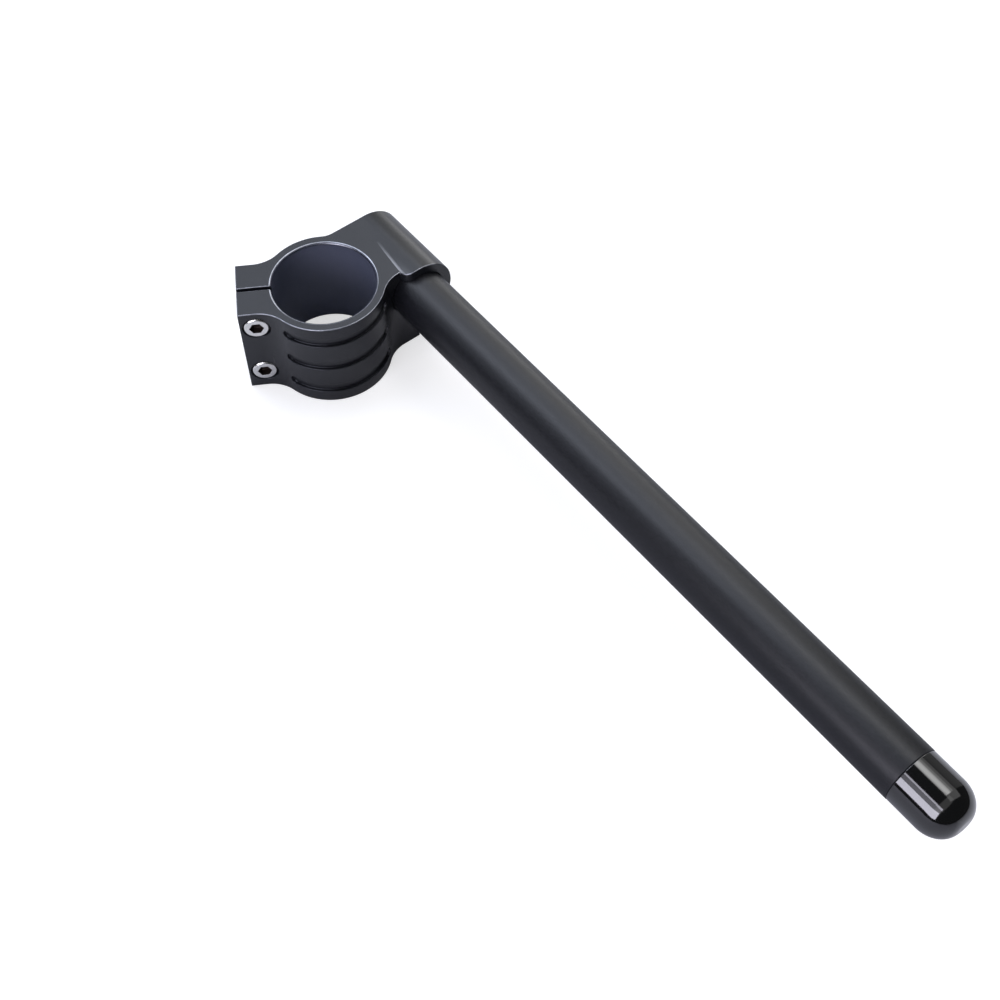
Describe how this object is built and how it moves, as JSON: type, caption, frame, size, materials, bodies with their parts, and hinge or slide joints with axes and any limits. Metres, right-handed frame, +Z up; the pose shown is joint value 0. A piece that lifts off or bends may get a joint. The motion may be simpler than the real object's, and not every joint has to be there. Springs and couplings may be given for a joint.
{
  "type": "clip on handlebar",
  "caption": "Motorcycle clip-on handlebar: a split fork-tube clamp with a ribbed ring and a side socket that grips a straight round bar closed by a domed end plug.",
  "frame": {"origin": "middle of the fork bore, on its axis and halfway up the clamp", "axes": "+Z up the fork bore's axis, +X from the fork to the bar, -Y along the bar towards its tip"},
  "size_m": [0.0838, 0.3364, 0.0509],
  "materials": {
    "clamp": "black anodised, satin",
    "bar": "black anodised, matte",
    "plug": "gloss black",
    "screw": "bright stainless steel"
  },
  "bodies": {
    "root": {"clamp_body": "clamp", "handlebar_tube": "bar", "bar_end_plug": "plug", "fork_clamp_screw_upper": "screw", "fork_clamp_screw_lower": "screw", "bar_clamp_screw_front": "screw", "bar_clamp_screw_rear": "screw"}
  },
  "joints": []
}
